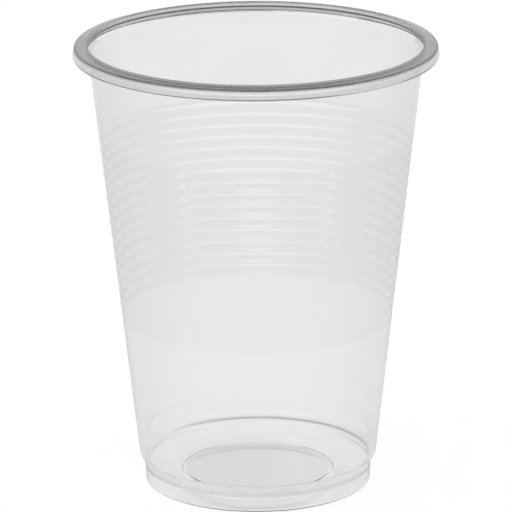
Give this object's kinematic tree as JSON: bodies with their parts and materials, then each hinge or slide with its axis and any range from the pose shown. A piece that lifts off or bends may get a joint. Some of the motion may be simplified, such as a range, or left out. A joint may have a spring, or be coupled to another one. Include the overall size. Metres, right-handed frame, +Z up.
{
  "type": "plastic disposable cup",
  "caption": "Clear thin-walled drinking cup with a tapered, ringed wall, a rolled rim and a stepped stacking foot.",
  "frame": {"origin": "centre of the foot, on the surface that the cup stands on", "axes": "+Z up along the cup's axis; the cup is a body of revolution, so X and Y are alike"},
  "size_m": [0.0728, 0.0728, 0.0908],
  "materials": {
    "clear_plastic": "clear, faintly hazy, smooth thermoformed polypropylene"
  },
  "bodies": {
    "root": {"cup": "clear_plastic"}
  },
  "joints": []
}
